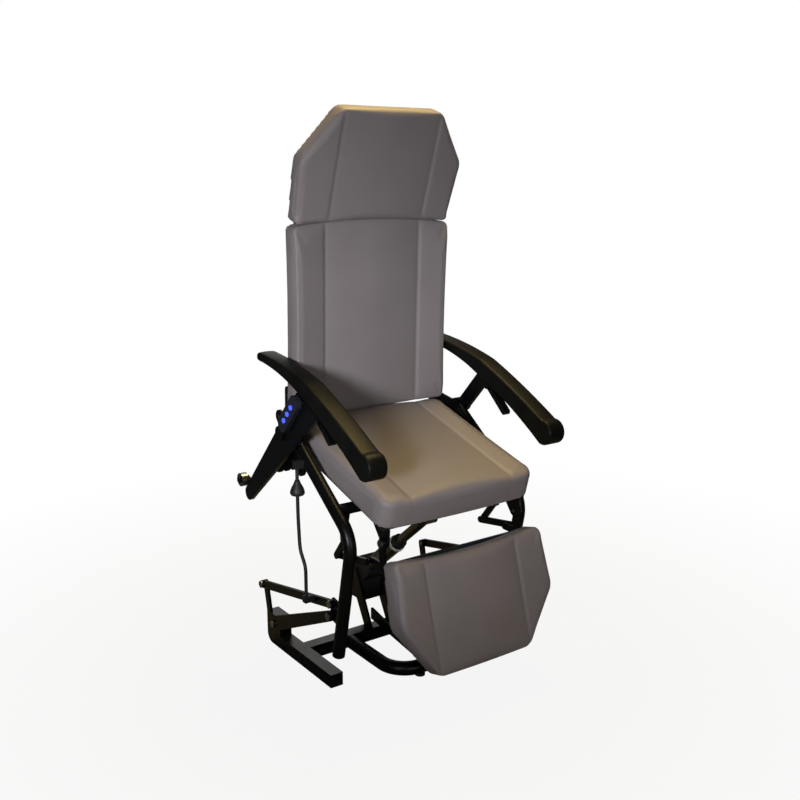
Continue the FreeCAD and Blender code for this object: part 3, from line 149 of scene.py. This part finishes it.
class Finish:
    """One material: a Principled shader and the nodes that feed it."""

    def __init__(self, name, **constants):
        self.material = bpy.data.materials.new(name)
        self.material.use_nodes = True
        self.tree = self.material.node_tree
        self.shader = self.tree.nodes["Principled BSDF"]
        for socket, value in constants.items():
            self.shader.inputs[socket.replace("_", " ")].default_value = value
        self.place = self.node("ShaderNodeTexCoord", out="Object")

    def node(self, kind, settings=None, inputs=None, out=0):
        made = self.tree.nodes.new(kind)
        for name, value in (settings or {}).items():
            setattr(made, name, value)
        for socket, value in (inputs or {}).items():
            if isinstance(value, Wire):
                self.tree.links.new(value.socket, made.inputs[socket])
            else:
                made.inputs[socket].default_value = value
        return Wire(self, made.outputs[out])

    def feed(self, socket, wire):
        self.tree.links.new(wire.socket, self.shader.inputs[socket])

    def noise(self, scale, detail, stretch=(1, 1, 1)):
        spot = self.node("ShaderNodeMapping", None, {"Vector": self.place, "Scale": stretch})
        return self.node("ShaderNodeTexNoise", None, {"Vector": spot, "Scale": scale, "Detail": detail})

    def cells(self, scale):
        return self.node("ShaderNodeTexVoronoi", None, {"Vector": self.place, "Scale": scale}, "Distance")

    def between(self, share, dark, light):
        ends = {0: share, 6: (*dark, 1), 7: (*light, 1)}
        return self.node("ShaderNodeMix", {"data_type": "RGBA"}, ends, 2)

    def band(self, wire, low, high):
        return self.node("ShaderNodeMapRange", None, {"Value": wire, "From Min": low, "From Max": high})

    def bump(self, height, strength, depth):
        grain = {"Strength": strength, "Distance": depth, "Height": height}
        self.feed("Normal", self.node("ShaderNodeBump", None, grain))


# %% [markdown]
# ## Finishes
# The upholstery is a soft coated vinyl: a fine pebble grain, a slow change of tone, and a satin sheen.
# The frame is black powder coat, which has a faint orange peel and is a little duller where it is rubbed.
# The pins are zinc plated, and the lift's tube is an olive grey. Each finish is written once.

# %% Vinyl
def make_vinyl():
    vinyl = Finish("taupe_vinyl", Specular_IOR_Level=0.3, Sheen_Weight=0.05, Sheen_Roughness=0.4)
    grain = vinyl.cells(scale=850.0)
    pores = vinyl.noise(scale=1600.0, detail=3.0)
    cloud = vinyl.noise(scale=5.0, detail=3.0)
    tone = vinyl.band(cloud * 0.75 + grain * 0.35, low=0.25, high=0.75)
    vinyl.feed("Base Color", vinyl.between(tone, dark=(0.142, 0.123, 0.122), light=(0.170, 0.148, 0.147)))
    vinyl.feed("Roughness", 0.46 + cloud * 0.12 + pores * 0.06)
    vinyl.bump(grain * 0.7 + pores * 0.3, strength=0.22, depth=0.0006)
    return vinyl.material


# %% Black powder coat, arm skin, boards, plastics and rubber
def make_coat(name, dark, light, dull, peel_scale, peel, shine=0.3, **constants):
    coat = Finish(name, Specular_IOR_Level=shine, **constants)
    peel_height = coat.noise(scale=peel_scale, detail=2.0)
    rub = coat.noise(scale=11.0, detail=5.0)
    coat.feed("Base Color", coat.between(coat.band(rub, low=0.35, high=0.75), dark, light))
    coat.feed("Roughness", dull + rub * 0.16 + peel_height * 0.05)
    coat.bump(peel_height, strength=peel, depth=0.0004)
    return coat.material


# %% Plated steel and the lift's tube
def make_metal(name, dark, light, polish, stretch):
    metal = Finish(name, Metallic=1.0)
    lines = metal.noise(scale=220.0, detail=3.0, stretch=stretch)
    cloud = metal.noise(scale=30.0, detail=3.0)
    metal.feed("Base Color", metal.between(metal.band(cloud, low=0.3, high=0.7), dark, light))
    metal.feed("Roughness", polish + lines * 0.18)
    metal.bump(lines, strength=0.06, depth=0.0002)
    return metal.material


# %% One finish for each material slot
COATS = {
    "frame_black": dict(
        name="black_powder_coat", dark=(0.0012, 0.0013, 0.0016), light=(0.0026, 0.0028, 0.0032),
        dull=0.22, peel_scale=900.0, peel=0.10, shine=0.16),
    "arm_black": dict(
        name="arm_skin", dark=(0.0020, 0.0022, 0.0018), light=(0.0046, 0.0050, 0.0040),
        dull=0.36, peel_scale=1500.0, peel=0.30, shine=0.10),
    "board_black": dict(
        name="board_paint", dark=(0.005, 0.005, 0.005), light=(0.010, 0.0095, 0.009),
        dull=0.55, peel_scale=400.0, peel=0.18),
    "motor_black": dict(
        name="motor_plastic", dark=(0.005, 0.0052, 0.0056), light=(0.010, 0.0103, 0.011),
        dull=0.40, peel_scale=1300.0, peel=0.25),
    "glide_rubber": dict(
        name="glide_rubber", dark=(0.012, 0.012, 0.012), light=(0.022, 0.022, 0.021),
        dull=0.62, peel_scale=700.0, peel=0.20),
    "handset_black": dict(
        name="handset_plastic", dark=(0.009, 0.010, 0.013), light=(0.014, 0.016, 0.021),
        dull=0.18, peel_scale=1800.0, peel=0.08),
    "cable_black": dict(
        name="cable_rubber", dark=(0.009, 0.009, 0.0095), light=(0.017, 0.017, 0.0175),
        dull=0.40, peel_scale=1100.0, peel=0.15),
    "ring_white": dict(
        name="ring_plastic", dark=(0.62, 0.61, 0.58), light=(0.76, 0.75, 0.71),
        dull=0.28, peel_scale=600.0, peel=0.05),
    "button_blue": dict(
        name="lit_button", dark=(0.015, 0.03, 0.55), light=(0.04, 0.07, 0.80),
        dull=0.20, peel_scale=600.0, peel=0.05,
        Emission_Color=(0.05, 0.09, 1.0, 1), Emission_Strength=1.6),
}
METALS = {
    "zinc": dict(
        name="zinc_plate", dark=(0.17, 0.175, 0.18), light=(0.29, 0.295, 0.30), polish=0.24,
        stretch=(1, 1, 1)),
    "rod_steel": dict(
        name="lift_steel", dark=(0.17, 0.15, 0.105), light=(0.25, 0.225, 0.16), polish=0.26,
        stretch=(1, 0.2, 0.2)),
}
finishes = {"vinyl": make_vinyl()}
for slot, coat in COATS.items():
    finishes[slot] = make_coat(**coat)
for slot, metal in METALS.items():
    finishes[slot] = make_metal(**metal)
for part in frame["record"]["subparts"]:
    skin = nodes[part["node"]].data
    skin.materials.clear()
    skin.materials.append(finishes[part["material_slot"]])
print("finishes", len(finishes))

# %% [markdown]
# ## Small helpers
# A bmesh is a workbench mesh: pieces are drawn in it with operators, and then written to a finished mesh.
# Every piece sits at the origin with its place in its own points, and rides on a body of the chair.

# %% Finish a bmesh as a piece that rides on a body
WELD = 0.01 * MM


def finish_piece(bm, name, body, slot, place):
    bmesh.ops.transform(bm, matrix=place, verts=bm.verts)
    bmesh.ops.recalc_face_normals(bm, faces=bm.faces)
    mesh = bpy.data.meshes.new(name)
    bm.to_mesh(mesh)
    bm.free()
    return piece_of(mesh, name, body, slot)


def piece_of(mesh, name, body, slot):
    """A smooth object in the finish of its slot. A piece that runs between two bodies rides on none."""
    mesh.materials.clear()
    mesh.materials.append(finishes[slot])
    for face in mesh.polygons:
        face.use_smooth = True
    piece = bpy.data.objects.new(name, mesh)
    bpy.context.collection.objects.link(piece)
    if body:
        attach(piece, body)
    return piece


def turned(profile, steps):
    """A bmesh turned on a lathe. The profile lists radius and height, and starts and ends on the axis."""
    bm = bmesh.new()
    points = [bm.verts.new((radius * MM, 0, height * MM)) for radius, height in profile]
    edges = [bm.edges.new(pair) for pair in zip(points, points[1:])]
    bmesh.ops.spin(bm, geom=points + edges, axis=(0, 0, 1), cent=(0, 0, 0), angle=math.tau, steps=steps,
                   use_merge=True, use_duplicate=False)
    bmesh.ops.remove_doubles(bm, verts=bm.verts, dist=WELD)
    return bm


# %% [markdown]
# ## Handset cable
# The handset's lead leaves a clip on the left side tube, swells into a moulded bulb, and hangs down to a clip
# on the lift link. It is drawn as one smooth NURBS spline along the same points as the CAD route. Because
# the seat tips on that link, the lead is made a mesh that rides on neither body.

# %% Cable
CABLE_X = -336
CABLE_ROUTE = [(31, 634), (31, 566), (31, 500), (27.5, 450), (24, 400),
               (9, 378), (-6, 356), (-6, 313), (-6, 270)]
CABLE_DIAMETER = 0.010
cable_points = [FLOOR @ Vector((CABLE_X * MM, y * MM, z * MM)) for y, z in CABLE_ROUTE]

route = bpy.data.curves.new("cable_route", "CURVE")
route.dimensions = "3D"
spline = route.splines.new("NURBS")
spline.points.add(len(cable_points) - 1)
for point, spot in zip(spline.points, cable_points):
    point.co = (*spot, 1)
spline.order_u = 3
spline.use_endpoint_u = True
spline.resolution_u = 16
route_holder = bpy.data.objects.new("cable_route", route)
bpy.context.collection.objects.link(route_holder)


def as_mesh(holder):
    """What an object looks like now, modifiers and bevels included, as a new mesh."""
    graph = bpy.context.evaluated_depsgraph_get()
    graph.update()
    return bpy.data.meshes.new_from_object(holder.evaluated_get(graph), depsgraph=graph)


cable_line = [vertex.co.copy() for vertex in as_mesh(route_holder).vertices]
route.bevel_depth = CABLE_DIAMETER / 2
route.bevel_resolution = 5
route.use_fill_caps = True
cable = piece_of(as_mesh(route_holder), "handset_lead", None, "cable_black")
bpy.data.objects.remove(route_holder)
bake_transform(cable)
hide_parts("handset_cable")

BULB = [(0, 0), (12, 0.6), (18, 3), (21, 8), (20.4, 14), (17, 24), (12, 33), (8.4, 41), (7, 46), (0, 46)]
BULB_FOOT = 556
BULB_STEPS = 32
bulb_place = FLOOR @ shift(CABLE_X, CABLE_ROUTE[0][0], BULB_FOOT)
bulb = finish_piece(turned(BULB, BULB_STEPS), "lead_bulb", "seat_frame", "cable_black", bulb_place)
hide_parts("cable_bulb")
cable_run = sum((b - a).length for a, b in zip(cable_line, cable_line[1:]))
print("cable points", len(cable_line), "run", round(cable_run, 4), "m")

# %% [markdown]
# ## Cushions
# Each panel is a foam block in tight vinyl with a wide middle panel and two narrow wings. The folds between
# them are sewn down, so the middle is crowned, and each wing leans forward or back towards the outer edge.
# The block is drawn as an outline, pushed out to its thickness, and its edges are rounded. A voxel remesh
# gives it an even skin, a cloth simulation puffs that skin with air while the folds and the back are held,
# and the folds are then drawn sharp.

# %% The foam block
VOXEL = 4 * MM
ARM_VOXEL = 3 * MM
CORNER_STEPS = 6
RIM_STEPS = 5


def round_over(bm, edges, radius, steps):
    bmesh.ops.bevel(bm, geom=edges, offset=radius * MM, offset_type="OFFSET", segments=steps, profile=0.5,
                    affect="EDGES", material=-1)


def foam_block(outline, thick, corner, rim):
    """A block lying on its back in X and Z, its front at -Y."""
    bm = bmesh.new()
    rear = bm.faces.new([bm.verts.new((x * MM, 0, z * MM)) for x, z in outline])
    grown = bmesh.ops.extrude_face_region(bm, geom=[rear])
    front = [part for part in grown["geom"] if isinstance(part, bmesh.types.BMVert)]
    bmesh.ops.translate(bm, verts=front, vec=(0, -thick * MM, 0))
    bmesh.ops.recalc_face_normals(bm, faces=bm.faces)
    middle = -thick * MM / 2
    upright = [edge for edge in bm.edges if (edge.verts[0].co.y < middle) != (edge.verts[1].co.y < middle)]
    round_over(bm, upright, corner, CORNER_STEPS)
    edge_front = [edge for edge in bm.edges if all(vertex.co.y < middle for vertex in edge.verts)]
    round_over(bm, edge_front, rim, RIM_STEPS)
    return bm


def remeshed(bm, name, grid):
    """An even quad skin over a closed bmesh."""
    mesh = bpy.data.meshes.new(name)
    bm.to_mesh(mesh)
    bm.free()
    holder = bpy.data.objects.new(name, mesh)
    bpy.context.collection.objects.link(holder)
    voxels = holder.modifiers.new("even_skin", "REMESH")
    voxels.mode = "VOXEL"
    voxels.voxel_size = grid
    even = as_mesh(holder)
    holder.modifiers.clear()
    holder.data = even
    return holder


# %% Crown, wings and bowed ends
# A wing's swell is full at WING_TOP of its width. The lift falls to END_LIFT over END_SHARE of the length at
# each end. The pairs say where an ease starts and over how much it runs, in shares of thickness or length.
WING_TOP = 0.4
END_SHARE = 0.1
END_LIFT = 0.5
FRONT_FROM, FRONT_OVER = 0.5, 0.4
BOW_FROM, BOW_OVER = 0.55, 0.45


def ease(share):
    share = min(max(share, 0.0), 1.0)
    return share * share * (3 - 2 * share)


def shape_cushion(holder, pad):
    """Moves the front skin out into a crowned middle and two wings, and bows the ends."""
    half = max(x for x, _ in pad["right"]) * MM
    length = pad["right"][-1][1] * MM
    fold = pad["fold"] * MM
    thick = pad["thick"] * MM
    for vertex in holder.data.vertices:
        spot = vertex.co
        across = abs(spot.x)
        up = spot.z / length
        front = ease((-spot.y / thick - FRONT_FROM) / FRONT_OVER)
        if across < fold:
            lift = pad["crown"] * (1 - (across / fold) ** 2) - pad["dip"]
        else:
            share = (across - fold) / (half - fold)
            swell = math.sin(math.pi / 2 * min(share / WING_TOP, 1.0))
            lift = pad["dip"] * (swell - 1) + pad["rise"] * share
        ends = ease(up / END_SHARE) * ease((1 - up) / END_SHARE)
        spot.y -= front * lift * MM * (END_LIFT + (1 - END_LIFT) * ends)
        bow = 1 - min(across / half, 1.0) ** 2
        spot.z += MM * bow * (pad["top_bow"] * ease((up - BOW_FROM) / BOW_OVER)
                              + pad["foot_bow"] * ease((BOW_OVER - up) / BOW_OVER))
        spot.x *= 1 - pad["waist"] * math.sin(math.pi * spot.z / length) * (across / half) ** 4


# %% Air pressure in the skin
PUFF_FRAMES = 12
PUFF_PRESSURE = 4.0
SKIN_STIFFNESS = 30.0
SKIN_BENDING = 2.0


def puff(holder, held, most):
    """Swells a closed skin by cloth simulation. Held points stay, and no point moves further than most."""
    start = [vertex.co.copy() for vertex in holder.data.vertices]
    group = holder.vertex_groups.new(name="held")
    group.add(held, 1.0, "REPLACE")
    cloth = holder.modifiers.new("skin", "CLOTH")
    cloth.settings.use_pressure = True
    cloth.settings.uniform_pressure_force = PUFF_PRESSURE
    cloth.settings.effector_weights.gravity = 0.0
    cloth.settings.vertex_group_mass = "held"
    cloth.settings.tension_stiffness = SKIN_STIFFNESS
    cloth.settings.compression_stiffness = SKIN_STIFFNESS
    cloth.settings.bending_stiffness = SKIN_BENDING
    for number in range(1, PUFF_FRAMES + 1):
        bpy.context.scene.frame_set(number)
    blown = as_mesh(holder)
    farthest = 0.0
    for vertex, before, after in zip(holder.data.vertices, start, blown.vertices):
        step = after.co - before
        if step.length > most:
            step *= most / step.length
        vertex.co = before + step
        farthest = max(farthest, step.length)
    holder.modifiers.remove(cloth)
    holder.vertex_groups.remove(group)
    bpy.data.meshes.remove(blown)
    bpy.context.scene.frame_set(1)
    return farthest


# %% Sewn folds
FOLD_SPREAD = 4.5 * MM
SEAM_FROM, SEAM_OVER = 0.55, 0.3


def sew_folds(holder, pad):
    """Draws the two folds in sharply after the skin has swollen."""
    fold = pad["fold"] * MM
    thick = pad["thick"] * MM
    for vertex in holder.data.vertices:
        away = abs(vertex.co.x) - fold
        front = ease((-vertex.co.y / thick - SEAM_FROM) / SEAM_OVER)
        vertex.co.y += pad["stitch"] * MM * front * math.exp(-abs(away) / FOLD_SPREAD)


def both_sides(right):
    """A panel's outline from its right-hand points, foot first."""
    return right + [(-x, z) for x, z in reversed(right)]


# %% The four panels
# Sizes are in millimetres. An outline gives its right-hand points, foot first. The dip is at the folds, the
# rise is the lean of the wings, the bows bend the two ends, and the stitch is a seam's depth. The waist is a
# share of the width.
PADS = {
    "seat_pad": dict(
        node="seat_cushion", body="seat_frame", place=SEAT @ shift(0, -93, 331.3) @ tip(-90),
        right=[(262, 0), (262, 496)], thick=77, fold=172, corner=40, rim=18, crown=13, dip=1, rise=6,
        top_bow=0, foot_bow=-7, waist=0.012, stitch=1.5),
    "back_pad": dict(
        node="back_cushion", body="backrest", place=BACK @ shift(0, -24.8, 4),
        right=[(270, 0), (270, 552)], thick=43, fold=163, corner=16, rim=9, crown=11, dip=1, rise=15,
        top_bow=17, foot_bow=0, waist=0.02, stitch=1.5),
    "head_pad": dict(
        node="head_cushion", body="headrest", place=HEAD @ shift(0, -24.8, 15),
        right=[(264, 0), (276, 184), (167, 331)], thick=50, fold=160, corner=16, rim=9, crown=7, dip=1,
        rise=-6, top_bow=0, foot_bow=17, waist=0.0, stitch=1.5),
    "leg_pad": dict(
        node="leg_cushion", body="legrest", place=LEG @ shift(0, -12.3, -373),
        right=[(160, 0), (264, 150), (253, 328)], thick=51, fold=157, corner=18, rim=10, crown=11, dip=1,
        rise=13, top_bow=-20, foot_bow=0, waist=0.0, stitch=1.5),
}
PUFF_MOST = 2 * MM
HELD_REAR = 3 * MM


def make_cushion(name, pad):
    outline = both_sides(pad["right"])
    grid = VOXEL
    holder = remeshed(foam_block(outline, pad["thick"], pad["corner"], pad["rim"]), name, grid)
    shape_cushion(holder, pad)
    swelled = 0.0
    fold = pad["fold"] * MM
    held = [vertex.index for vertex in holder.data.vertices
            if vertex.co.y > -HELD_REAR or abs(abs(vertex.co.x) - fold) < VOXEL]
    swelled = puff(holder, held, PUFF_MOST)
    sew_folds(holder, pad)
    mesh = holder.data
    mesh.transform(pad["place"])
    bpy.data.objects.remove(holder)
    piece = piece_of(mesh, name, pad["body"], "vinyl")
    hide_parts(pad["node"])
    print(name, len(mesh.vertices), "points, swelled", round(swelled / MM, 1), "mm")


for pad_name, pad in PADS.items():
    make_cushion(pad_name, pad)

# %% [markdown]
# ## Arm pads
# The arm pads are moulded foam with a leathery skin. Their CAD solid has the right line already, so a copy of
# it is welded, given an even skin, and crowned a little along the top.

# %% Arm pads
ARM_CROWN = 2.5 * MM


def make_arm_pad(side):
    bm = bmesh.new()
    bm.from_mesh(nodes["arm_pad_" + side].data)
    bmesh.ops.remove_doubles(bm, verts=bm.verts, dist=WELD)
    holder = remeshed(bm, "arm_rest_" + side, ARM_VOXEL)
    low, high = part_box("arm_pad_" + side)
    middle = (low.x + high.x) / 2
    half = (high.x - low.x) / 2
    holder.data.update()
    for vertex in holder.data.vertices:
        share = 1 - (abs(vertex.co.x - middle) / half) ** 2
        vertex.co.z += ARM_CROWN * share * max(vertex.normal.z, 0)
    mesh = holder.data
    bpy.data.objects.remove(holder)
    piece = piece_of(mesh, "arm_rest_" + side, side + "_arm", "arm_black")
    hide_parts("arm_pad_" + side)
    print("arm pad", side, len(mesh.vertices), "points")


for side in ("left", "right"):
    make_arm_pad(side)

# %% [markdown]
# ## Floor and light
# The floor is a disc that fades out at its edge, so no horizon shows. To the eye it is nearly white, but it
# throws back light as a grey one does. A narrow cool flash stands at the front left, a warm light hangs over
# the seat, and weaker ones fill the front and the rear. The world too is white to the eye but dim as a light,
# so that black paint stays black.

# %% Floor
# FLOOR_WHITE is the share of plain white that the eye sees in it. The fade runs between two radii in metres.
FLOOR_WHITE = 0.9
FLOOR_GREY = (0.2, 0.2, 0.2, 1)
WHITE = (1, 1, 1, 1)
FLOOR_RADIUS = 3.0
FADE_FROM, FADE_TO = 0.7, 2.2


def make_floor():
    bm = bmesh.new()
    bmesh.ops.create_circle(bm, cap_ends=True, segments=64, radius=FLOOR_RADIUS)
    mesh = bpy.data.meshes.new("floor")
    bm.to_mesh(mesh)
    bm.free()
    floor = bpy.data.objects.new("floor", mesh)
    bpy.context.collection.objects.link(floor)
    paint = Finish("floor_paint", Base_Color=FLOOR_GREY, Roughness=0.8, Specular_IOR_Level=0.1)
    spread = paint.node("ShaderNodeVectorMath", {"operation": "LENGTH"}, {0: paint.place}, 1)
    paint.feed("Alpha", 1 - paint.band(spread, FADE_FROM, FADE_TO))
    lit = Wire(paint, paint.shader.outputs[0])
    white = paint.node("ShaderNodeEmission", None, {"Color": WHITE, "Strength": 1.0})
    to_eye = paint.node("ShaderNodeLightPath", out="Is Camera Ray")
    seen_floor = paint.node("ShaderNodeMixShader", None, {0: to_eye * FLOOR_WHITE, 1: lit, 2: white})
    paint.tree.links.new(seen_floor.socket, paint.tree.nodes["Material Output"].inputs["Surface"])
    mesh.materials.append(paint.material)


make_floor()


# %% Light
def area_light(name, spot, aim, width, power, colour, beam=180):
    lamp = bpy.data.lights.new(name, "AREA")
    lamp.size = width
    lamp.spread = math.radians(beam)
    lamp.energy = power
    lamp.color = colour
    holder = bpy.data.objects.new(name, lamp)
    holder.location = spot
    holder.rotation_euler = (Vector(aim) - Vector(spot)).to_track_quat("-Z", "Y").to_euler()
    bpy.context.collection.objects.link(holder)


area_light("flash", spot=(-2.6, -2.0, 1.4), aim=(0, 0.1, 0.95), width=0.5, power=6,
           colour=(0.90, 0.94, 1.0), beam=36)
area_light("overhead", spot=(0.5, 0.3, 3.2), aim=(0, 0, 0.6), width=1.0, power=92,
           colour=(1.0, 0.75, 0.30))
area_light("front", spot=(-0.6, -3.4, 1.3), aim=(0, 0, 0.8), width=1.6, power=26,
           colour=(1.0, 0.97, 0.98))
area_light("rear", spot=(1.6, 3.2, 1.8), aim=(0, 0.2, 0.8), width=1.6, power=14,
           colour=(1.0, 0.98, 0.96))


# %% World
def make_world(tint, strength):
    """A dim glow as a light, and plain white to the eye."""
    world = bpy.data.worlds.new("studio")
    world.use_nodes = True
    sky = world.node_tree
    glow = sky.nodes["Background"]
    glow.inputs["Color"].default_value = tint
    glow.inputs["Strength"].default_value = strength
    backdrop = sky.nodes.new("ShaderNodeBackground")
    backdrop.inputs["Color"].default_value = WHITE
    seen = sky.nodes.new("ShaderNodeLightPath")
    either = sky.nodes.new("ShaderNodeMixShader")
    sky.links.new(seen.outputs["Is Camera Ray"], either.inputs[0])
    sky.links.new(glow.outputs[0], either.inputs[1])
    sky.links.new(backdrop.outputs[0], either.inputs[2])
    sky.links.new(either.outputs[0], sky.nodes["World Output"].inputs[0])
    return world


bpy.context.scene.world = make_world(tint=(0.94, 0.97, 1.0, 1), strength=0.07)
